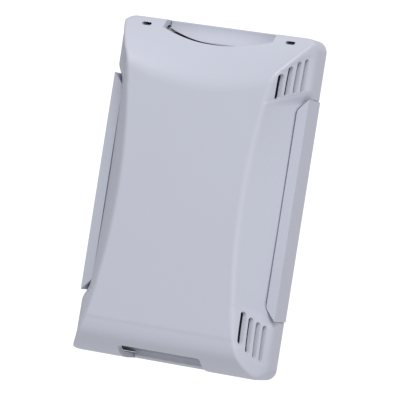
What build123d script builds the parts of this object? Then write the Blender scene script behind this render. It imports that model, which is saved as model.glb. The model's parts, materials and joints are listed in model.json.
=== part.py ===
"""Wall-mounted wireless network unit: a vented housing with its board, jack and printed antenna.

Axes: +X to the right, +Z up, and the wall is the plane Y = 0, so the front faces -Y.
The origin is the middle of the wall-screw pattern. Depths are measured from the wall
towards the front, along the normal of Plane.XZ. All lengths are in millimetres.
"""

import os

from build123d import *

os.makedirs("parts", exist_ok=True)

# ---------------------------------------------------------------- driving dimensions
width = 80.0  # over the back plate's wings, X
height = 130.0  # along the wall, Z
depth = 28.0  # from the wall to the front face
wall = 2.0  # moulded wall thickness
gap = 0.5  # between the cover and the plate inside it
half_w = width / 2
half_h = height / 2
over = 5.0  # how far a cutting shape runs past the face it cuts

# front cover, outside
cover_half_w = 39.7
corner_radius = 4.5  # outline corners, seen from the front
skirt_start = 0.6  # the skirt stops this far from the wall
skirt_depth = 11.2  # and ends this far out, where the slopes begin
side_ridge_x = 25.2  # half width of the flat front at mid height
side_ridge_end_x = 34.0  # and at the top and bottom
top_ridge_middle_z = 43.5
top_ridge_corner_z = 48.8
top_ridge_corner_x = 30.5
bottom_ridge_z = -54.5
bottom_bulge = 2.0  # the bottom slope is rounded outwards
scoop_foot_depth = 7.0  # the sides are scooped deeper between the lobes
scoop_half_at_ridge = 39.5
scoop_half_at_foot = 44.5

# openings in the cover's skirt, seen from the front
side_notch_half = 42.6
side_notch_inner_half = 37.8
side_notch_x = 35.4
notch_round = 3.5
top_notch_half = 22.6
top_notch_floor_z = 57.3
top_notch_step = 3.4
bottom_notch_half = 17.0
bottom_notch_z = -60.2

# vent slots in each corner lobe, the first one nearest the front
slot_depths = (24.0, 20.9, 17.8, 14.9)
slot_inner_z = (39.9, 41.7, 43.1, 44.1)
slot_top_z = (49.8, 53.2, 55.6, 57.0)
slot_bottom_z = (52.2, 55.2, 56.8, 57.8)
slot_widths = (2.5, 2.1, 1.9, 1.8)
slot_tilts = (8.0, 6.0, 4.0, 2.5)  # degrees, outer ends towards the front
slot_starts = (27.5, 29.5, 31.0, 32.5)  # each cut begins this far from the middle, inside the wall
grille_wall = 0.9
grille_start = 41.5
grille_end = 57.5
grille_section = ((25.0, 25.0), (37.0, 25.0), (39.0, 13.0), (33.0, 13.0))  # (x, depth)
filter_start = 39.5  # foam pads behind the vents keep dust out
filter_end = 58.5
filter_section = ((26.9, 25.6), (37.2, 10.2), (36.2, 9.6), (25.9, 25.0))  # (x, depth)
release_slot_x = 29.5
release_slot_z = 62.2
release_slot_size = (3.9, 1.3)
catch_z = 61.0
catch_depth = 10.4
catch_size = (8.0, 2.4)

# hinge line of the cover, along X
hinge_depth = 1.8
hinge_z = -63.2
hinge_x = 27.0
hinge_width = 7.0
hinge_radius = 0.8
hinge_swing_z = 63.4  # the bottom edge is bevelled from here down

# back plate
plate_half_w = cover_half_w - wall - gap
plate_top_z = half_h - wall - gap
plate_bottom_z = -61.9
plate_base = 2.0
flange_half_w = 39.2
flange_top_z = 64.5
flange_bottom_z = -61.0
flange_thickness = 0.4
rim = 1.8
rim_depth = 6.8
lip_length = 66.0
lip_thickness = 1.6
wing_core_x = 2.1  # long pockets behind the wings, this far from the outer face
wing_core_width = 1.2
wing_core_zs = (-24.0, 0.0, 24.0)
wing_core_length = 20.0
wing_core_depth = 6.2
wing_edge_depth = 8.2
wing_inner_depth = 12.7
wing_hollow = (37.3, -9.5)  # the grip's hollow passes here, in X and Y
tab_depth = 7.0
tab_inner_depth = 12.0
tab_lip_z = 63.8
tab_hollow = (-8.3, 60.4)  # and the top tab's hollow here, in Y and Z
foot_tab_depth = 6.0
cable_window = (30.0, 13.0)
cable_window_z = -50.0
wall_screw_x = 25.0
wall_screw_z = 55.5
wall_screw_radius = 2.2
box_slot_spacing = 60.3
box_slot_length = 8.4
box_slot_radius = 2.1

# circuit board
board_back = 8.0  # depth of the board's back face
board_thickness = 1.6
board_front = board_back + board_thickness
board_half_w = 31.0
board_bottom_z = -38.0
board_top_z = 50.0
board_screw_x = 27.0
board_screw_zs = (-33.5, 45.5)
board_hole_radius = 1.6
screw_radius = 1.25
screw_head_radius = 2.6
post_radius = 3.2
touch = 0.02  # clearance between stacked flat pieces

# what stands on the board
jack_x = -6.0
jack_mouth_z = -37.5
jack_width = 16.0
jack_height = 13.4
jack_length = 18.0
jack_sheet = 0.4
jack_socket_width = 11.8
jack_socket_length = 13.0
terminal_x = 16.0
terminal_z = -33.0
terminal_pitch = 5.0
terminal_height = 9.4
terminal_length = 8.0
chip_x = -5.0
sink_size = 20.0
radio_x = 18.0
radio_z = 10.0
antenna_z = 43.0
antenna_back = 14.0
reset_x = 22.0
reset_z = 29.0
reset_radius = 1.7


def block(x, z, near, far, size_x, size_z):
    """A block standing on the plane at depth near and reaching depth far."""
    with BuildPart(mode=Mode.PRIVATE) as made:
        with BuildSketch(Plane.XZ.offset(near)):
            with Locations((x, z)):
                Rectangle(size_x, size_z)
        extrude(amount=far - near)
    return made.part


def rod(x, z, near, far, radius):
    """A round rod between two depths."""
    with BuildPart(mode=Mode.PRIVATE) as made:
        with BuildSketch(Plane.XZ.offset(near)):
            with Locations((x, z)):
                Circle(radius)
        extrude(amount=far - near)
    return made.part


def slope_ends(inset, foot_depth):
    """Two depths past a slope's ends, each with its share of the way to the front."""
    rise = depth - foot_depth
    return [(at_depth - inset, (at_depth - foot_depth) / rise) for at_depth in (foot_depth - 4, depth + 4)]


def side_trim(inset, side, foot_depth):
    """What the slope between a bowed long ridge and the straight skirt cuts away."""
    foot_x = cover_half_w - inset * 0.6
    outside = half_w + 4 * over
    with BuildPart(mode=Mode.PRIVATE) as trim:
        for at_depth, share in slope_ends(inset, foot_depth):
            middle = foot_x + share * (side_ridge_x - cover_half_w)
            end = foot_x + share * (side_ridge_end_x - cover_half_w)
            with BuildSketch(Plane.XZ.offset(at_depth)):
                with BuildLine():
                    ridge = ThreePointArc((side * end, -half_h), (side * middle, 0), (side * end, half_h))
                    Polyline(ridge @ 1, (side * outside, half_h), (side * outside, -half_h), ridge @ 0)
                make_face()
        loft(ruled=True)
    return trim.part


def top_trim(inset):
    """What the slope between the bowed top ridge and the straight skirt cuts away."""
    foot_z = half_h - inset * 0.6
    outside = half_h + 4 * over
    reach = top_ridge_corner_x
    with BuildPart(mode=Mode.PRIVATE) as trim:
        for at_depth, share in slope_ends(inset, skirt_depth):
            middle = foot_z + share * (top_ridge_middle_z - half_h)
            corner = foot_z + share * (top_ridge_corner_z - half_h)
            with BuildSketch(Plane.XZ.offset(at_depth)):
                with BuildLine():
                    ridge = ThreePointArc((-reach, corner), (0, middle), (reach, corner))
                    Polyline(ridge @ 1, (2 * reach, corner), (2 * reach, outside), (-2 * reach, outside))
                    Polyline((-2 * reach, outside), (-2 * reach, corner), ridge @ 0)
                make_face()
        loft(ruled=True)
    return trim.part


def bottom_trim(inset):
    """What the rounded bottom end cuts away, between its ridge and the skirt."""
    ridge = (-depth + inset, bottom_ridge_z + 0.4 * inset)
    foot = (-skirt_depth - 1.5, -half_h + inset)
    middle = ((foot[0] + ridge[0]) / 2 - bottom_bulge, (foot[1] + ridge[1]) / 2 - bottom_bulge)
    corner = (ridge[0] - over, foot[1] - over)
    with BuildPart(mode=Mode.PRIVATE) as trim:
        with BuildSketch(Plane.YZ.offset(-half_w - over)):
            with BuildLine():
                slope = ThreePointArc(foot, middle, ridge)
                Polyline(slope @ 1, (corner[0], ridge[1]), corner, (foot[0], corner[1]), slope @ 0)
            make_face()
        extrude(amount=width + 2 * over)
    return trim.part


def scoop_cut(inset, side):
    """The hollow cut along one side between its two corner lobes."""
    lean = (scoop_half_at_foot - scoop_half_at_ridge) / (depth - scoop_foot_depth)
    near_half = scoop_half_at_ridge - over * lean + inset
    far_half = scoop_half_at_foot + over * lean + inset
    near, far = -depth - over, -scoop_foot_depth + over
    with BuildPart(mode=Mode.PRIVATE) as scoop:
        add(side_trim(inset, side, scoop_foot_depth))
        with BuildSketch(Plane.YZ.offset(-2 * half_w)):
            Polygon((near, near_half), (far, far_half), (far, -far_half), (near, -near_half), align=None)
        extrude(amount=4 * half_w, mode=Mode.INTERSECT)
    return scoop.part


def cover_form(inset):
    """The cover's whole form, or the same form moved inwards by inset."""
    with BuildPart(mode=Mode.PRIVATE) as form:
        with BuildSketch(Plane.XZ.offset(skirt_start if not inset else 0)):
            RectangleRounded(2 * (cover_half_w - inset), height - 2 * inset, corner_radius - inset)
        extrude(amount=depth - inset - (skirt_start if not inset else 0))
        for side in (1, -1):
            add(side_trim(inset, side, skirt_depth), mode=Mode.SUBTRACT)
            add(scoop_cut(inset, side), mode=Mode.SUBTRACT)
        add(top_trim(inset), mode=Mode.SUBTRACT)
        add(bottom_trim(inset), mode=Mode.SUBTRACT)
    return form.part


def side_notch(clearance, near, far):
    """The right side notch's block as seen from the front, reduced by a clearance."""
    lean = (side_notch_half - side_notch_inner_half) / (cover_half_w - side_notch_x)
    inner_x = side_notch_x + clearance
    outer_x = half_w if clearance else half_w + over
    inner_z = side_notch_inner_half + (inner_x - side_notch_x) * lean - 1.5 * clearance
    outer_z = inner_z + (outer_x - inner_x) * lean
    with BuildPart(mode=Mode.PRIVATE) as made:
        with BuildSketch(Plane.XZ.offset(near)) as outline:
            Polygon((outer_x, outer_z), (inner_x, inner_z), (inner_x, -inner_z), (outer_x, -outer_z), align=None)
            fillet(outline.vertices().sort_by(Axis.X)[:2], notch_round)
        extrude(amount=far - near)
    return made.part


def top_notch(clearance, near, far):
    """The top finger recess's block as seen from the front, reduced by a clearance."""
    half = top_notch_half - clearance
    step = half_h - top_notch_step + clearance
    top = half_h if clearance else half_h + over
    with BuildPart(mode=Mode.PRIVATE) as made:
        with BuildSketch(Plane.XZ.offset(near)):
            with BuildLine():
                curve = ThreePointArc((-half, step), (0, top_notch_floor_z + clearance), (half, step))
                Polyline(curve @ 1, (half, top), (-half, top), curve @ 0)
            make_face()
        extrude(amount=far - near)
    return made.part


def bottom_notch(clearance, near, far):
    """The bottom recess's block as seen from the front, reduced by a clearance."""
    half = bottom_notch_half - clearance
    top = bottom_notch_z - clearance
    bottom = -half_h + (0.1 if clearance else -over)
    with BuildPart(mode=Mode.PRIVATE) as made:
        with BuildSketch(Plane.XZ.offset(near)) as outline:
            with Locations((0, (top + bottom) / 2)):
                Rectangle(2 * half, top - bottom)
            fillet(outline.vertices().sort_by(Axis.Y)[-2:], 1.2)
        extrude(amount=far - near)
    return made.part


def vent_slot(at_depth, low, high, slot_width, tilt, start):
    """One vent slot, cut straight in from the side."""
    with BuildPart(mode=Mode.PRIVATE) as made:
        with BuildSketch(Plane.YZ.offset(start)):
            with Locations((-at_depth, (low + high) / 2)):
                SlotOverall(high - low, slot_width, rotation=90 + tilt)
        extrude(amount=over * 3 if start > 0 else -over * 3)
    return made.part


# ---------------------------------------------------------------- front cover
# pockets inside the lobes that thin the wall behind the vents
with BuildPart(mode=Mode.PRIVATE) as grille_pockets:
    for side in (-1, 1):
        for low, high in ((grille_start, grille_end), (-grille_end, -grille_start)):
            with BuildSketch(Plane.XY.offset(low)):
                Polygon(*[(side * x, -d) for x, d in grille_section], align=None)
            extrude(amount=high - low)
    add(cover_form(grille_wall), mode=Mode.INTERSECT)

with BuildPart() as front_cover:
    add(cover_form(0))
    add(cover_form(wall), mode=Mode.SUBTRACT)
    add(grille_pockets.part, mode=Mode.SUBTRACT)
    # openings for the plate's wings and tabs
    notch = side_notch(0, -1, depth)
    add(notch, mode=Mode.SUBTRACT)
    add(notch.mirror(Plane.YZ), mode=Mode.SUBTRACT)
    add(top_notch(0, -1, depth), mode=Mode.SUBTRACT)
    add(bottom_notch(0, -1, depth), mode=Mode.SUBTRACT)
    # vents in the four lobes
    for side in (-1, 1):
        slots = zip(slot_depths, slot_inner_z, slot_top_z, slot_bottom_z, slot_widths, slot_tilts, slot_starts)
        for at_depth, low, top, bottom, slot_width, tilt, start in slots:
            add(vent_slot(at_depth, low, top, slot_width, tilt, side * start), mode=Mode.SUBTRACT)
            add(vent_slot(at_depth, -bottom, -low, slot_width, -tilt, side * start), mode=Mode.SUBTRACT)
    # release openings in the top end
    with BuildSketch(Plane.XZ.offset(skirt_depth - 2)):
        with Locations((-release_slot_x, release_slot_z), (release_slot_x, release_slot_z)):
            SlotOverall(*release_slot_size)
    extrude(amount=depth, mode=Mode.SUBTRACT)
    # the bottom edge is bevelled so that it clears the wall as the cover swings
    with BuildSketch(Plane.YZ.offset(-half_w)):
        Polygon((0, -half_h - 1), (0, -hinge_swing_z), (-hinge_swing_z + half_h, -half_h - 1), align=None)
    extrude(amount=width, mode=Mode.SUBTRACT)
    # two rounded beads on the hinge line
    for side in (-1, 1):
        with BuildSketch(Plane.YZ.offset(side * hinge_x - hinge_width / 2)):
            with Locations((-hinge_depth, hinge_z)):
                Circle(hinge_radius)
        extrude(amount=hinge_width)

# ---------------------------------------------------------------- foam behind the vents
with BuildPart() as vent_filters:
    for side in (-1, 1):
        for low, high in ((filter_start, filter_end), (-filter_end, -filter_start)):
            corners = [(side * x, -d) for x, d in filter_section]
            with BuildSketch(Plane.XY.offset(low)):
                Polygon(*corners, align=None)
            extrude(amount=high - low)
    add(cover_form(wall + 0.1), mode=Mode.INTERSECT)

# ---------------------------------------------------------------- back plate
# the right wing fills the cover's side notch: hollowed like a finger grip, cored from behind
with BuildPart(mode=Mode.PRIVATE) as wing:
    inner_x = side_notch_x + gap
    add(side_notch(gap, 0, wing_inner_depth))
    with BuildSketch(Plane.XY.offset(-half_h)):
        with BuildLine():
            hollow = ThreePointArc((inner_x, -wing_inner_depth), wing_hollow, (half_w, -wing_edge_depth))
            Polyline(hollow @ 1, (half_w, -depth), (inner_x, -depth), hollow @ 0)
        make_face()
    extrude(amount=height, mode=Mode.SUBTRACT)
    with BuildSketch(Plane.XZ):
        with Locations(*[(half_w - wing_core_x, z) for z in wing_core_zs]):
            Rectangle(wing_core_width, wing_core_length)
    extrude(amount=wing_core_depth, mode=Mode.SUBTRACT)

# hollowed tab in the top finger recess
with BuildPart(mode=Mode.PRIVATE) as tab:
    add(top_notch(gap, 0, tab_inner_depth))
    with BuildSketch(Plane.YZ.offset(-half_w)):
        with BuildLine():
            cove = ThreePointArc((-tab_depth, tab_lip_z), tab_hollow, (-tab_inner_depth, top_notch_floor_z + 0.9))
            over_top = half_h + 1
            Polyline(cove @ 1, (-depth, top_notch_floor_z), (-depth, over_top), (-tab_depth, over_top), cove @ 0)
        make_face()
    extrude(amount=width, mode=Mode.SUBTRACT)

# low tab at the back of the bottom recess
with BuildPart(mode=Mode.PRIVATE) as foot_tab:
    add(bottom_notch(gap, 0, foot_tab_depth))
    chamfer(foot_tab.faces().sort_by(Axis.Y)[0].edges().sort_by(Axis.Z)[0], 1.0)

plate_mid_z = (plate_top_z + plate_bottom_z) / 2
plate_h = plate_top_z - plate_bottom_z
with BuildPart() as back_plate:
    # a thin flange under the cover's skirt, stopping short of the hinge end
    with BuildSketch(Plane.XZ):
        with Locations((0, (flange_top_z + flange_bottom_z) / 2)):
            RectangleRounded(2 * flange_half_w, flange_top_z - flange_bottom_z, corner_radius - gap)
    extrude(amount=flange_thickness)
    with BuildSketch(Plane.XZ):
        with Locations((0, plate_mid_z)):
            RectangleRounded(2 * plate_half_w, plate_h, corner_radius - wall)
    extrude(amount=plate_base)
    with BuildSketch(Plane.XZ):
        with Locations((0, plate_mid_z)):
            RectangleRounded(2 * plate_half_w, plate_h, corner_radius - wall)
            Rectangle(2 * (plate_half_w - rim), plate_h - 2 * rim, mode=Mode.SUBTRACT)
    extrude(amount=rim_depth)
    # wings in the side notches and tabs in the end recesses
    add(wing.part)
    add(wing.part.mirror(Plane.YZ))
    add(tab.part)
    add(foot_tab.part)
    # a lip along the bottom, in front of the cover's hinge beads
    lip_back = hinge_depth + hinge_radius + 0.1
    add(block(0, plate_bottom_z - 0.3, lip_back, lip_back + lip_thickness, lip_length, 1.2))
    # catches that a screwdriver reaches through the release openings
    for side in (-1, 1):
        add(block(side * release_slot_x, catch_z, 1.0, catch_depth, *catch_size))
    # posts for the circuit board
    for x in (-board_screw_x, board_screw_x):
        for z in board_screw_zs:
            add(rod(x, z, plate_base - 0.5, board_back - touch, post_radius))
            add(rod(x, z, 1.0, board_back, screw_radius + 0.05), mode=Mode.SUBTRACT)
    # cable window, wall screw holes and wall-box slots
    add(block(0, cable_window_z, -1, plate_base + 1, *cable_window), mode=Mode.SUBTRACT)
    for x in (-wall_screw_x, wall_screw_x):
        for z in (-wall_screw_z, wall_screw_z):
            add(rod(x, z, -1, plate_base + 1, wall_screw_radius), mode=Mode.SUBTRACT)
    with BuildSketch(Plane.XZ.offset(-1)):
        with Locations((-box_slot_spacing / 2, cable_window_z), (box_slot_spacing / 2, cable_window_z)):
            SlotOverall(box_slot_length, 2 * box_slot_radius)
    extrude(amount=plate_base + 2, mode=Mode.SUBTRACT)

# ---------------------------------------------------------------- main circuit board
with BuildPart() as main_board:
    board_mid_z = (board_bottom_z + board_top_z) / 2
    with BuildSketch(Plane.XZ.offset(board_back)):
        with Locations((0, board_mid_z)):
            RectangleRounded(2 * board_half_w, board_top_z - board_bottom_z, 1.5)
        for z in board_screw_zs:
            with Locations((-board_screw_x, z), (board_screw_x, z)):
                Circle(board_hole_radius, mode=Mode.SUBTRACT)
    extrude(amount=board_thickness)

with BuildPart() as board_screws:
    for x in (-board_screw_x, board_screw_x):
        for z in board_screw_zs:
            add(rod(x, z, 2.0, board_front + 1, screw_radius))
            add(rod(x, z, board_front + touch, board_front + 1.8, screw_head_radius))
            add(block(x, z, board_front + 1.1, board_front + 3, 3.0, 0.6), mode=Mode.SUBTRACT)
            add(block(x, z, board_front + 1.1, board_front + 3, 0.6, 3.0), mode=Mode.SUBTRACT)

# ---------------------------------------------------------------- network jack, mouth down
seat = board_front + touch
jack_mid_z = jack_mouth_z + jack_length / 2
with BuildPart() as jack_shell:
    add(block(jack_x, jack_mid_z, seat, seat + jack_height, jack_width, jack_length))
    near, far = seat + jack_sheet, seat + jack_height - jack_sheet
    inside = jack_width - 2 * jack_sheet
    add(block(jack_x, jack_mid_z - jack_sheet, near, far, inside, jack_length), mode=Mode.SUBTRACT)

with BuildPart() as jack_insert:
    near, far = seat + jack_sheet + touch, seat + jack_height - jack_sheet - touch
    inside = jack_width - 2 * jack_sheet - 2 * touch
    add(block(jack_x, jack_mid_z, near, far, inside, jack_length - 2 * jack_sheet - 2 * touch))
    socket_mid_z = jack_mouth_z + jack_socket_length / 2
    low, high = near + 1.6, far - 2.0
    add(block(jack_x, socket_mid_z - 1, low, high, jack_socket_width, jack_socket_length + 2), mode=Mode.SUBTRACT)
    # room for the plug's latch
    add(block(jack_x, socket_mid_z - 1, high - 1, far - 0.8, 6.0, jack_socket_length + 2), mode=Mode.SUBTRACT)

with BuildPart() as jack_contacts:
    contact_near = seat + jack_sheet + touch + 1.6 + touch
    for index in range(8):
        x = jack_x + (index - 3.5) * 1.02
        add(block(x, jack_mouth_z + 6.5, contact_near, contact_near + 0.4, 0.45, 9.0))

with BuildPart() as line_transformer:
    add(block(jack_x, -14.8, seat, seat + 5.0, 14.0, 7.0))
    chamfer(line_transformer.edges().filter_by(Axis.Y), 0.6)

# ---------------------------------------------------------------- power terminals
with BuildPart() as terminal_block:
    add(block(terminal_x, terminal_z, seat, seat + terminal_height, 3 * terminal_pitch + 0.6, terminal_length))
    chamfer(terminal_block.faces().sort_by(Axis.Y)[0].edges().filter_by(Axis.X), 1.2)
    for index in (-1, 0, 1):
        x = terminal_x + index * terminal_pitch
        add(rod(x, terminal_z, seat + 4.4, seat + 11, 1.6), mode=Mode.SUBTRACT)
        add(block(x, terminal_z - 2, seat + 1.2, seat + 4.8, 3.6, terminal_length - 1), mode=Mode.SUBTRACT)

with BuildPart() as terminal_screws:
    for index in (-1, 0, 1):
        x = terminal_x + index * terminal_pitch
        add(rod(x, terminal_z, seat + 4.0, seat + 8.6, 1.5))
        add(block(x, terminal_z, seat + 7.8, seat + 9, 3.2, 0.6), mode=Mode.SUBTRACT)

with BuildPart() as terminal_clamps:
    for index in (-1, 0, 1):
        x = terminal_x + index * terminal_pitch
        add(block(x, terminal_z - 1.2, seat + 1.25, seat + 1.85, 3.4, 4.0))

# ---------------------------------------------------------------- power parts
with BuildPart() as power_inductor:
    with BuildSketch(Plane.XZ.offset(seat)):
        with Locations((-22, -20)):
            RectangleRounded(10, 10, 2)
    extrude(amount=5)
    chamfer(power_inductor.faces().sort_by(Axis.Y)[0].edges(), 0.6)

with BuildPart() as smoothing_capacitors:
    for x, z in ((14, -17), (24, -17)):
        add(rod(x, z, seat, seat + 8.5, 3.15))
    fillet(smoothing_capacitors.faces().sort_by(Axis.Y)[0:2].edges(), 0.5)

# ---------------------------------------------------------------- processor and memory
chip_front = seat + 1.4
pad_front = chip_front + touch + 0.5
sink_back = pad_front + touch
with BuildPart() as processor:
    add(block(chip_x, 0, seat, chip_front, 14, 14))
with BuildPart() as thermal_pad:
    add(block(chip_x, 0, chip_front + touch, pad_front, 13, 13))
with BuildPart() as heat_sink:
    add(block(chip_x, 0, sink_back, sink_back + 2, sink_size, sink_size))
    for index in range(6):
        x = chip_x - sink_size / 2 + 0.6 + index * (sink_size - 1.2) / 5
        add(block(x, 0, sink_back + 1.5, sink_back + 8.5, 1.2, sink_size))
with BuildPart() as memory_chip:
    add(block(-22, 2, seat, seat + 1.1, 8, 12))

# ---------------------------------------------------------------- radio and antenna
with BuildPart() as radio_board:
    add(block(radio_x, radio_z, seat, seat + 1.0, 18, 24))
with BuildPart() as radio_shield:
    shield_back = seat + 1.0 + touch
    add(block(radio_x, radio_z - 1, shield_back, shield_back + 2.2, 15, 19))
    add(block(radio_x, radio_z - 1, shield_back - 1, shield_back + 2.0, 14.6, 18.6), mode=Mode.SUBTRACT)
with BuildPart() as antenna_board:
    add(block(0, antenna_z, antenna_back, antenna_back + 0.8, 46, 13))
with BuildPart() as antenna_elements:
    copper = antenna_back + 0.8 + touch
    for z, length in ((-4.6, 40), (1.8, 26), (4.6, 23)):
        add(block(0, antenna_z + z, copper, copper + 0.1, length, 1.2))
    for side in (-1, 1):
        add(block(side * 8.6, antenna_z - 1.2, copper, copper + 0.1, 16, 1.2))
with BuildPart() as antenna_pins:
    for x in (-3.8, -1.27, 1.27, 3.8):
        add(block(x, antenna_z - 5, seat, antenna_back - touch, 0.64, 0.64))
with BuildPart() as antenna_spacers:
    for x in (-18, 18):
        add(rod(x, antenna_z, seat, antenna_back - touch, 2.2))

# ---------------------------------------------------------------- reset switch
with BuildPart() as reset_switch:
    add(block(reset_x, reset_z, seat, seat + 3.4, 6, 6))
    add(rod(reset_x, reset_z, seat + 1.4, seat + 5, reset_radius + 0.05), mode=Mode.SUBTRACT)
with BuildPart() as reset_button:
    add(rod(reset_x, reset_z, seat + 1.9, seat + 5.0, reset_radius))
    fillet(reset_button.faces().sort_by(Axis.Y)[0].edges(), 0.3)

# ---------------------------------------------------------------- names and files
nodes = {
    "front_cover": front_cover,
    "vent_filters": vent_filters,
    "back_plate": back_plate,
    "main_board": main_board,
    "board_screws": board_screws,
    "jack_shell": jack_shell,
    "jack_insert": jack_insert,
    "jack_contacts": jack_contacts,
    "line_transformer": line_transformer,
    "terminal_block": terminal_block,
    "terminal_screws": terminal_screws,
    "terminal_clamps": terminal_clamps,
    "power_inductor": power_inductor,
    "smoothing_capacitors": smoothing_capacitors,
    "processor": processor,
    "thermal_pad": thermal_pad,
    "heat_sink": heat_sink,
    "memory_chip": memory_chip,
    "radio_board": radio_board,
    "radio_shield": radio_shield,
    "antenna_board": antenna_board,
    "antenna_elements": antenna_elements,
    "antenna_pins": antenna_pins,
    "antenna_spacers": antenna_spacers,
    "reset_switch": reset_switch,
    "reset_button": reset_button,
}
for name, made in nodes.items():
    made.part.label = name
    export_step(made.part, f"parts/{name}.step")
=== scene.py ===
"""Finished view of the wall-mounted wireless network unit, built on the shared frame."""

import json
from math import cos, radians, sin

import bmesh
import bpy
import numpy as np
from mathutils import Matrix, Vector


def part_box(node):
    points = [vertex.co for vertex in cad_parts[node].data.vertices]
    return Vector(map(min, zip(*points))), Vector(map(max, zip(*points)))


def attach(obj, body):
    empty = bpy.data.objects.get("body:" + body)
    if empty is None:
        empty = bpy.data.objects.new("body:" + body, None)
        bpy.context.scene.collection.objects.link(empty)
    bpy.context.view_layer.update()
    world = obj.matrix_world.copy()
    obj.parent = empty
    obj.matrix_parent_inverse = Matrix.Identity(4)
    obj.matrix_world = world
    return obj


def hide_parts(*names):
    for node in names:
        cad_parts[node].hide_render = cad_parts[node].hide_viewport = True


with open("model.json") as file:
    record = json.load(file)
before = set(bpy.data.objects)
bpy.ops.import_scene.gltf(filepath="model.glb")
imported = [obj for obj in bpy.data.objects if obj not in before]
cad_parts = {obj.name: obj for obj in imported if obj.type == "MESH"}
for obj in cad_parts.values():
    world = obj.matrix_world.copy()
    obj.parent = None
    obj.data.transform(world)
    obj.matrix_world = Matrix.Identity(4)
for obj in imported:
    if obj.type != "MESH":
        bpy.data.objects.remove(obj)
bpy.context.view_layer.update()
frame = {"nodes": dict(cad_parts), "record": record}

MM = 0.001

# ---------------------------------------------------------------- materials
CLOUD_SCALE = 35.0
CLOUD_DETAIL = 4.0
GRAIN_DETAIL = 2.0
GRAIN_HEIGHT = 0.1 * MM
GLOSS_SPREAD = 0.05


def plastic(name, color, roughness, grain, grain_scale, mottling=0.03, metallic=0.0):
    """A moulded or metal surface with faint mottling, uneven gloss and a fine grain."""
    material = bpy.data.materials.new(name)
    material.use_nodes = True
    nodes, links = material.node_tree.nodes, material.node_tree.links
    shader = nodes["Principled BSDF"]
    shader.inputs["Metallic"].default_value = metallic
    place = nodes.new("ShaderNodeTexCoord")

    clouds = nodes.new("ShaderNodeTexNoise")
    clouds.inputs["Scale"].default_value = CLOUD_SCALE
    clouds.inputs["Detail"].default_value = CLOUD_DETAIL
    links.new(place.outputs["Object"], clouds.inputs["Vector"])

    tint = nodes.new("ShaderNodeMix")
    tint.data_type = "RGBA"
    tint.inputs["A"].default_value = (*[c * (1 - mottling) for c in color], 1)
    tint.inputs["B"].default_value = (*[min(1, c * (1 + mottling)) for c in color], 1)
    links.new(clouds.outputs["Fac"], tint.inputs["Factor"])
    links.new(tint.outputs["Result"], shader.inputs["Base Color"])

    gloss = nodes.new("ShaderNodeMapRange")
    gloss.inputs["To Min"].default_value = roughness - GLOSS_SPREAD
    gloss.inputs["To Max"].default_value = roughness + GLOSS_SPREAD
    links.new(clouds.outputs["Fac"], gloss.inputs["Value"])
    links.new(gloss.outputs["Result"], shader.inputs["Roughness"])

    fine = nodes.new("ShaderNodeTexNoise")
    fine.inputs["Scale"].default_value = grain_scale
    fine.inputs["Detail"].default_value = GRAIN_DETAIL
    links.new(place.outputs["Object"], fine.inputs["Vector"])
    bump = nodes.new("ShaderNodeBump")
    bump.inputs["Strength"].default_value = grain
    bump.inputs["Distance"].default_value = GRAIN_HEIGHT
    links.new(fine.outputs["Fac"], bump.inputs["Height"])
    links.new(bump.outputs["Normal"], shader.inputs["Normal"])
    return material


HOUSING = (0.50, 0.51, 0.585)
SURFACES = {
    "cover_plastic": plastic("cover", HOUSING, 0.4, 0.2, 1800, 0.012),
    "filter_foam": plastic("foam", (0.015, 0.015, 0.017), 0.9, 1.0, 1200, 0.2),
    "plate_plastic": plastic("plate", HOUSING, 0.42, 0.2, 1800, 0.012),
    "board_laminate": plastic("board", (0.02, 0.16, 0.08), 0.35, 0.3, 900, 0.15),
    "screw_steel": plastic("screws", (0.6, 0.6, 0.62), 0.3, 0.2, 1500, 0.05, 1.0),
    "jack_plating": plastic("plating", (0.66, 0.65, 0.62), 0.32, 0.2, 1200, 0.05, 1.0),
    "black_plastic": plastic("black", (0.02, 0.02, 0.023), 0.45, 0.3, 1500, 0.1),
    "contact_gold": plastic("gold", (0.85, 0.62, 0.25), 0.25, 0.1, 1500, 0.04, 1.0),
    "terminal_green": plastic("terminal", (0.04, 0.3, 0.13), 0.42, 0.3, 1500, 0.06),
    "inductor_grey": plastic("ferrite", (0.12, 0.12, 0.13), 0.55, 0.5, 1300, 0.1),
    "can_aluminium": plastic("can", (0.75, 0.75, 0.77), 0.28, 0.15, 1200, 0.04, 1.0),
    "chip_black": plastic("chip", (0.03, 0.03, 0.033), 0.6, 0.6, 2500, 0.12),
    "pad_rubber": plastic("pad", (0.3, 0.36, 0.5), 0.8, 0.4, 1500, 0.06),
    "sink_aluminium": plastic("sink", (0.2, 0.2, 0.22), 0.42, 0.3, 1500, 0.05, 0.9),
    "radio_laminate": plastic("radio", (0.02, 0.06, 0.2), 0.35, 0.3, 900, 0.12),
    "antenna_laminate": plastic("laminate", (0.62, 0.56, 0.38), 0.5, 0.4, 900, 0.06),
    "antenna_copper": plastic("copper", (0.85, 0.45, 0.25), 0.3, 0.2, 1500, 0.05, 1.0),
    "white_nylon": plastic("nylon", (0.8, 0.79, 0.75), 0.5, 0.3, 1500, 0.03),
    "switch_body": plastic("switch", (0.03, 0.03, 0.03), 0.5, 0.3, 1500, 0.1),
    "button_plastic": plastic("button", (0.5, 0.05, 0.04), 0.35, 0.2, 1500, 0.05),
}


def dress(obj, surface):
    """Gives an object one of the surfaces above."""
    obj.data.materials.clear()
    obj.data.materials.append(SURFACES[surface])


PLATE_EDGE = 0.3 * MM
SMALL_EDGE = 0.1 * MM
SHARP_ANGLE = radians(35)

slot_of = {part["node"]: part["material_slot"] for part in frame["record"]["subparts"]}
for node, obj in frame["nodes"].items():
    dress(obj, slot_of[node])
    if node != "front_cover":
        soft = obj.modifiers.new("edges", "BEVEL")
        soft.width = PLATE_EDGE if node == "back_plate" else SMALL_EDGE
        soft.segments = 2
        soft.limit_method = "ANGLE"
        soft.angle_limit = SHARP_ANGLE
        soft.use_clamp_overlap = True

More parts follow.
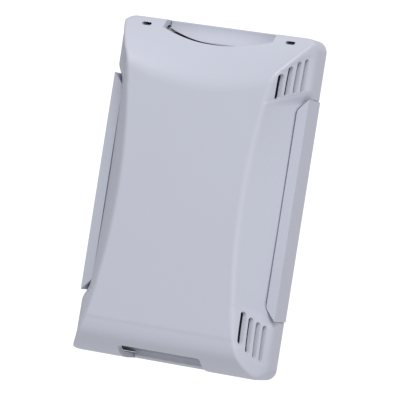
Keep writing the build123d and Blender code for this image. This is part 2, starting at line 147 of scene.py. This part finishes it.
# ---------------------------------------------------------------- the moulded cover
low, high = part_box("front_cover")
HALF_W = high[0] / MM
HALF_H = high[2] / MM
FRONT = -low[1] / MM
SKIRT_START = -high[1] / MM
SKIRT = 11.2
CORNER = 4.5
EDGE_ROUND = 1.6
EDGE_ROUND_SHARE = 0.8
WALL = 1.9
# behind the vents the wall is thinner, over this reach across and up, to either side
GRILLE_WALL = 1.25
GRILLE_ACROSS = (26.5, 39.2)
GRILLE_UP = (38.5, 60.0)
GRILLE_FADE = 1.5

# the bowed ridges: how far from the middle, halfway up and at the ends
RIDGE = (25.2, 34.0)
# the top end's slope starts at these heights, in the middle and at this reach across
TOP_RIDGE = (43.5, 48.8)
TOP_RIDGE_REACH = 30.5
# the scooped sides between the lobes
SCOOP_FOOT = 7.0
SCOOP_HOLLOW = 1.8
# the lobes start at this height above or below the middle, and this much higher at the outer edge
LOBE_START = 38.2
LOBE_LEAN = 5.2
LOBE_LEAD = 2.2
LOBE_BLEND = 5.0
# the bottom shoulder's arc goes through these, as height and depth
SHOULDER = ((-54.5, 28.0), (-61.75, 22.35), (-65.0, 12.7))
SHOULDER_CLEAR = 3.0
SHOULDER_RISE = 0.8
# rounded joins between the faces
TOP_JOIN, BOTTOM_JOIN, SIDE_JOIN = 3.6, 2.4, 1.8
# the let-in pads round the vents: how deep, how soft, how far past the slots' outer ends, the depth where
# they stop, and their inner edge's height at two depths
PAD_SINK = 0.35
PAD_FADE = 0.5
PAD_TOP_MARGIN = 1.5
PAD_BOTTOM_MARGIN = 1.2
PAD_LOWEST = 12.6
PAD_INNER_DEPTHS = (11.2, 28.0)
PAD_INNER_HEIGHTS = (44.2, 37.6)

# the four slots of a vent, front one first: depth, inner end, outer end at the top and at the bottom, width
# and lean in degrees
SLOT_DEPTHS = (24.0, 20.9, 17.8, 14.9)
SLOT_INNER = (39.9, 41.7, 43.1, 44.1)
SLOT_TOP = (49.8, 53.2, 55.6, 57.0)
SLOT_BOTTOM = (52.2, 55.2, 56.8, 57.8)
SLOT_WIDTHS = (2.5, 2.1, 1.9, 1.8)
SLOT_TILTS = (8.0, 6.0, 4.0, 2.5)


def arc(value, middle, end_value, end):
    """A bowed line: middle at 0, end at +-end_value, circular in between."""
    rise = end - middle
    radius = (end_value**2 + rise**2) / (2 * rise)
    return middle + radius - np.sqrt(np.maximum(radius**2 - value**2, 0))


def soft_min(a, b, width):
    """The lower of two surfaces, with a rounded join."""
    return np.minimum(a, b) - np.maximum(width - np.abs(a - b), 0) ** 2 / (4 * width)


def ease(value):
    """An S-curve from 0 to 1."""
    value = np.clip(value, 0, 1)
    return value * value * (3 - 2 * value)


def cover_depth(x, z):
    """How far the cover's face stands from the wall, in millimetres."""
    side = np.abs(x)
    ridge = arc(z, RIDGE[0], HALF_H, RIDGE[1])
    share = (side - ridge) / (HALF_W - ridge)
    lobe = FRONT - share * (FRONT - SKIRT)
    within = np.clip(share, 0, 1)
    scoop = FRONT - share * (FRONT - SCOOP_FOOT) - SCOOP_HOLLOW * within * np.clip(1 - share, 0, 1)
    start = LOBE_START + LOBE_LEAN * within
    blend = ease((np.abs(z) - start + LOBE_LEAD) / LOBE_BLEND)
    flank = scoop + blend * (lobe - scoop)

    # the grille pads are let in a little
    inner = np.interp(flank, PAD_INNER_DEPTHS, PAD_INNER_HEIGHTS)
    top = np.interp(flank, SLOT_DEPTHS[::-1], SLOT_TOP[::-1]) + PAD_TOP_MARGIN
    bottom = np.interp(flank, SLOT_DEPTHS[::-1], SLOT_BOTTOM[::-1]) + PAD_BOTTOM_MARGIN
    outer = np.where(z > 0, top, bottom)
    inside = np.minimum(np.minimum(np.abs(z) - inner, outer - np.abs(z)), flank - PAD_LOWEST)
    flank = flank - PAD_SINK * ease(inside / PAD_FADE)

    ridge_top = arc(x, TOP_RIDGE[0], TOP_RIDGE_REACH, TOP_RIDGE[1])
    slope_top = FRONT - (z - ridge_top) / (HALF_H - ridge_top) * (FRONT - SKIRT)
    # the bottom end is a rounded shoulder
    (z1, h1), (z2, h2), (z3, h3) = SHOULDER
    matrix = np.array([[z2 - z1, h2 - h1], [z3 - z1, h3 - h1]])
    right = np.array([z2**2 - z1**2 + h2**2 - h1**2, z3**2 - z1**2 + h3**2 - h1**2]) / 2
    zc, hc = np.linalg.solve(matrix, right)
    radius = np.hypot(z1 - zc, h1 - hc)
    slope_bottom = np.where(z < zc, hc + np.sqrt(np.maximum(radius**2 - (z - zc) ** 2, 0)), hc + radius)
    clear = z - z1 - SHOULDER_CLEAR
    slope_bottom = np.where(clear > 0, slope_bottom + clear * SHOULDER_RISE, slope_bottom)

    face = soft_min(np.full_like(x, FRONT), slope_top, TOP_JOIN)
    face = soft_min(face, slope_bottom, BOTTOM_JOIN)
    return soft_min(face, flank, SIDE_JOIN)


def cover_sheet(columns, rows):
    """The cover as a closed shell: outer face, inner face and skirt."""
    u = np.linspace(-1, 1, columns)
    v = np.linspace(-1, 1, rows)
    x, z = np.meshgrid(u * HALF_W, v * HALF_H)
    # square corners are turned into round ones
    dx = np.maximum(np.abs(x) - (HALF_W - CORNER), 0)
    dz = np.maximum(np.abs(z) - (HALF_H - CORNER), 0)
    square = np.maximum(dx, dz)
    round_ = np.maximum(np.hypot(dx, dz), 1e-9)
    both = (dx > 0) & (dz > 0)
    pull = np.where(both, square / round_, 1.0)
    x = np.where(both, np.sign(x) * (HALF_W - CORNER + dx * pull), x)
    z = np.where(both, np.sign(z) * (HALF_H - CORNER + dz * pull), z)
    edge = np.where(both, CORNER - square, np.minimum(HALF_W - np.abs(x), HALF_H - np.abs(z)))
    h = cover_depth(x, z)
    near = np.clip(EDGE_ROUND - edge, 0, EDGE_ROUND)
    h = h - (EDGE_ROUND - np.sqrt(EDGE_ROUND**2 - near**2)) * EDGE_ROUND_SHARE

    mesh = bmesh.new()
    outer_rim = skin(mesh, x, z, h)
    side, rise = np.abs(x), np.abs(z)
    across = np.minimum(side - GRILLE_ACROSS[0], GRILLE_ACROSS[1] - side)
    along = np.minimum(rise - GRILLE_UP[0], GRILLE_UP[1] - rise)
    wall = WALL - (WALL - GRILLE_WALL) * ease(np.minimum(across, along) / GRILLE_FADE)
    inner_rim = skin(mesh, x * (1 - wall / HALF_W), z * (1 - WALL / HALF_H), h - wall)
    for i in range(len(outer_rim)):
        j = (i + 1) % len(outer_rim)
        mesh.faces.new((outer_rim[i], outer_rim[j], inner_rim[j], inner_rim[i]))
    bmesh.ops.recalc_face_normals(mesh, faces=mesh.faces)
    return mesh


def skin(mesh, x, z, h, steps=6):
    """Adds a face from a grid of points, and its skirt down to the back edge. Returns the edge."""
    rows, columns = x.shape
    points = np.stack((x, -h, z), axis=2) * MM
    grid = [[mesh.verts.new(points[r, c]) for c in range(columns)] for r in range(rows)]
    for r in range(rows - 1):
        for c in range(columns - 1):
            mesh.faces.new((grid[r][c], grid[r][c + 1], grid[r + 1][c + 1], grid[r + 1][c]))
    loop = grid[0][:-1] + [row[-1] for row in grid[:-1]] + grid[-1][:0:-1] + [row[0] for row in grid[:0:-1]]
    previous = loop
    for step in range(1, steps + 1):
        share = step / steps
        back = SKIRT_START * MM * share
        ring = [mesh.verts.new((p.co.x, p.co.y * (1 - share) - back, p.co.z)) for p in loop]
        for i in range(len(loop)):
            j = (i + 1) % len(loop)
            mesh.faces.new((previous[i], ring[i], ring[j], previous[j]))
        previous = ring
    return previous


def prism(mesh, outline, start, length, axis):
    """Adds a closed prism: outline points lie in the plane across the axis, in millimetres."""
    def place(a, b, along):
        return Vector((a, -along, b) if axis == "y" else (along, -a, b)) * MM

    near = [mesh.verts.new(place(a, b, start)) for a, b in outline]
    far = [mesh.verts.new(place(a, b, start + length)) for a, b in outline]
    faces = [mesh.faces.new(near), mesh.faces.new(far[::-1])]
    for i in range(len(outline)):
        j = (i + 1) % len(outline)
        faces.append(mesh.faces.new((near[j], near[i], far[i], far[j])))
    bmesh.ops.recalc_face_normals(mesh, faces=faces)


def stadium(a, low_b, high_b, size, along_b=True, steps=8):
    """A slot outline with round ends."""
    radius = size / 2
    points = []
    for centre, base in ((high_b - radius, 0), (low_b + radius, 180)):
        for step in range(steps + 1):
            angle = radians(base + 180 * step / steps)
            points.append((a + radius * cos(angle), centre + radius * sin(angle)))
    return points if along_b else [(q, p) for p, q in points]


def leaning(points, tilt):
    """The outline turned about its middle, its upper end towards the front for a positive tilt."""
    middle = sum((Vector(p) for p in points), Vector((0, 0))) / len(points)
    turn = Matrix.Rotation(radians(-tilt), 2)
    return [tuple(middle + turn @ (Vector(p) - middle)) for p in points]


def rounded(points, radius, which, steps=6):
    """A polygon whose chosen corners are rounded."""
    result = []
    for i, point in enumerate(points):
        if i not in which:
            result.append(point)
            continue
        p, a, b = Vector(point), Vector(points[i - 1]), Vector(points[(i + 1) % len(points)])
        start = p + (a - p).normalized() * radius
        end = p + (b - p).normalized() * radius
        for step in range(steps + 1):
            t = step / steps
            q = start.lerp(p, t).lerp(p.lerp(end, t), t)
            result.append((q.x, q.y))
    return result


def as_object(mesh, name):
    """Turns a bmesh into a scene object."""
    data = bpy.data.meshes.new(name)
    mesh.to_mesh(data)
    mesh.free()
    obj = bpy.data.objects.new(name, data)
    bpy.context.scene.collection.objects.link(obj)
    return obj


COVER_COLUMNS, COVER_ROWS = 221, 361
COVER_SHARP = radians(40)
cover = as_object(cover_sheet(COVER_COLUMNS, COVER_ROWS), "cover_shell")

# the knives, which reach past the shell: slots, side notches, release openings, top scallop, bottom recess
PAST = 6.0
BEHIND = -2.0
SLOT_STARTS = (27.5, 29.5, 31.0, 32.5)
SLOT_REACH = 15.0
NOTCH_INNER_X, NOTCH_INNER_Z = 35.4, 37.8
NOTCH_OUTER_X, NOTCH_OUTER_Z = 46.0, 49.6
NOTCH_ROUND = 2.4
RELEASE_X, RELEASE_Z = 29.5, 62.2
RELEASE_LENGTH, RELEASE_WIDTH = 3.9, 1.3
RELEASE_START, RELEASE_REACH = 8.0, 24.0
SCALLOP_HALF, SCALLOP_FLOOR, SCALLOP_STEP = 22.6, 57.3, 61.6
SCALLOP_STEPS = 24
RECESS_HALF, RECESS_TOP = 17.0, -60.2
RECESS_ROUND = 1.2
OUTSIDE_Z = 70.0
edges, vents, releases = bmesh.new(), bmesh.new(), bmesh.new()
for side in (-1, 1):
    notch = [
        (side * NOTCH_OUTER_X, NOTCH_OUTER_Z),
        (side * NOTCH_INNER_X, NOTCH_INNER_Z),
        (side * NOTCH_INNER_X, -NOTCH_INNER_Z),
        (side * NOTCH_OUTER_X, -NOTCH_OUTER_Z),
    ]
    prism(edges, rounded(notch, NOTCH_ROUND, (1, 2)), BEHIND, FRONT + PAST, "y")
    for a, inner, top, bottom, size, tilt, start in zip(
        SLOT_DEPTHS, SLOT_INNER, SLOT_TOP, SLOT_BOTTOM, SLOT_WIDTHS, SLOT_TILTS, SLOT_STARTS
    ):
        start = start if side > 0 else -start - SLOT_REACH
        prism(vents, leaning(stadium(a, inner, top, size), tilt), start, SLOT_REACH, "x")
        prism(vents, leaning(stadium(a, -bottom, -inner, size), -tilt), start, SLOT_REACH, "x")
    near_end = side * RELEASE_X - RELEASE_LENGTH / 2
    far_end = side * RELEASE_X + RELEASE_LENGTH / 2
    release = stadium(RELEASE_Z, near_end, far_end, RELEASE_WIDTH, along_b=False)
    prism(releases, release, RELEASE_START, RELEASE_REACH, "y")
scallop = [(SCALLOP_HALF, OUTSIDE_Z), (SCALLOP_HALF, SCALLOP_STEP)]
for step in range(1, SCALLOP_STEPS):
    across = SCALLOP_HALF * cos(radians(180 * step / SCALLOP_STEPS))
    scallop.append((across, float(arc(np.array(across), SCALLOP_FLOOR, SCALLOP_HALF, SCALLOP_STEP))))
scallop += [(-SCALLOP_HALF, SCALLOP_STEP), (-SCALLOP_HALF, OUTSIDE_Z)]
prism(edges, scallop, BEHIND, FRONT + PAST, "y")
recess = [
    (RECESS_HALF, -OUTSIDE_Z),
    (RECESS_HALF, RECESS_TOP),
    (-RECESS_HALF, RECESS_TOP),
    (-RECESS_HALF, -OUTSIDE_Z),
]
prism(edges, rounded(recess, RECESS_ROUND, (1, 2)), BEHIND, FRONT + PAST, "y")
knives = [
    as_object(edges, "knife_edges"),
    as_object(vents, "knife_vents"),
    as_object(releases, "knife_releases"),
]
for knife in knives:
    cut = cover.modifiers.new("cut", "BOOLEAN")
    cut.operation = "DIFFERENCE"
    cut.solver = "EXACT"
    cut.object = knife
bpy.context.view_layer.update()
shaped = cover.evaluated_get(bpy.context.evaluated_depsgraph_get())
data = bpy.data.meshes.new_from_object(shaped)
cover.modifiers.clear()
cover.data = data
for knife in knives:
    bpy.data.objects.remove(knife)
for polygon in cover.data.polygons:
    polygon.use_smooth = True
cover.data.set_sharp_from_angle(angle=COVER_SHARP)
dress(cover, "cover_plastic")
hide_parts("front_cover")
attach(cover, "cover")

# ---------------------------------------------------------------- stage, light and camera
FLOOR_HEIGHT = -0.30
FLOOR_HALF = 1.6
FLOOR_CELLS = 8
AIR_LIGHT = 0.60
PAPER_LIGHT = 1.1

floor_mesh = bmesh.new()
bmesh.ops.create_grid(floor_mesh, x_segments=FLOOR_CELLS, y_segments=FLOOR_CELLS, size=FLOOR_HALF)
floor = as_object(floor_mesh, "floor")
floor.location = (0, 0, FLOOR_HEIGHT)
floor.data.materials.append(plastic("floor", (0.8, 0.8, 0.8), 0.8, 0.1, 60, 0.02))

world = bpy.data.worlds.new("studio")
world.use_nodes = True
# white behind the object, and a softer grey as the light that falls on it
wnodes, wlinks = world.node_tree.nodes, world.node_tree.links
glow = wnodes["Background"]
glow.inputs["Color"].default_value = (0.95, 0.97, 1, 1)
glow.inputs["Strength"].default_value = AIR_LIGHT
paper = wnodes.new("ShaderNodeBackground")
paper.inputs["Color"].default_value = (1, 1, 1, 1)
paper.inputs["Strength"].default_value = PAPER_LIGHT
path = wnodes.new("ShaderNodeLightPath")
mixed = wnodes.new("ShaderNodeMixShader")
wlinks.new(path.outputs["Is Camera Ray"], mixed.inputs["Fac"])
wlinks.new(glow.outputs["Background"], mixed.inputs[1])
wlinks.new(paper.outputs["Background"], mixed.inputs[2])
wlinks.new(mixed.outputs["Shader"], wnodes["World Output"].inputs["Surface"])
bpy.context.scene.world = world
bpy.context.scene.view_settings.view_transform = "Standard"


def lamp(name, place, aim, size, power):
    """A soft square light aimed at a point."""
    light = bpy.data.lights.new(name, "AREA")
    light.size = size
    light.energy = power
    obj = bpy.data.objects.new(name, light)
    obj.location = place
    obj.rotation_euler = (Vector(aim) - Vector(place)).to_track_quat("-Z", "Y").to_euler()
    bpy.context.scene.collection.objects.link(obj)


lamp("key", (0.25, -0.78, 1.00), (0, 0, 0), 0.45, 9.2)
lamp("fill", (1.1, -0.55, 0.25), (0, 0, 0), 0.6, 2.2)

YAW = radians(21.3)
ROLL = radians(8.95)
DISTANCE = 1.23
LENS = 289
SENSOR = 36
# the object sits this far right of and above the middle of the view
OFF_RIGHT = 0.00214
OFF_UP = 0.00103
target = Vector((0, 0, 0))
sight = Vector((-sin(YAW), cos(YAW), 0))
level = Vector((cos(YAW), sin(YAW), 0))
right = level * cos(ROLL) + Vector((0, 0, 1)) * sin(ROLL)
up = level * -sin(ROLL) + Vector((0, 0, 1)) * cos(ROLL)
camera_data = bpy.data.cameras.new("camera")
camera_data.sensor_width = SENSOR
camera_data.lens = LENS
camera = bpy.data.objects.new("camera", camera_data)
place = target - sight * DISTANCE - right * OFF_RIGHT - up * OFF_UP
turn = Matrix((right, up, -sight)).transposed().to_4x4()
camera.matrix_world = Matrix.Translation(place) @ turn
bpy.context.scene.collection.objects.link(camera)
bpy.context.scene.camera = camera
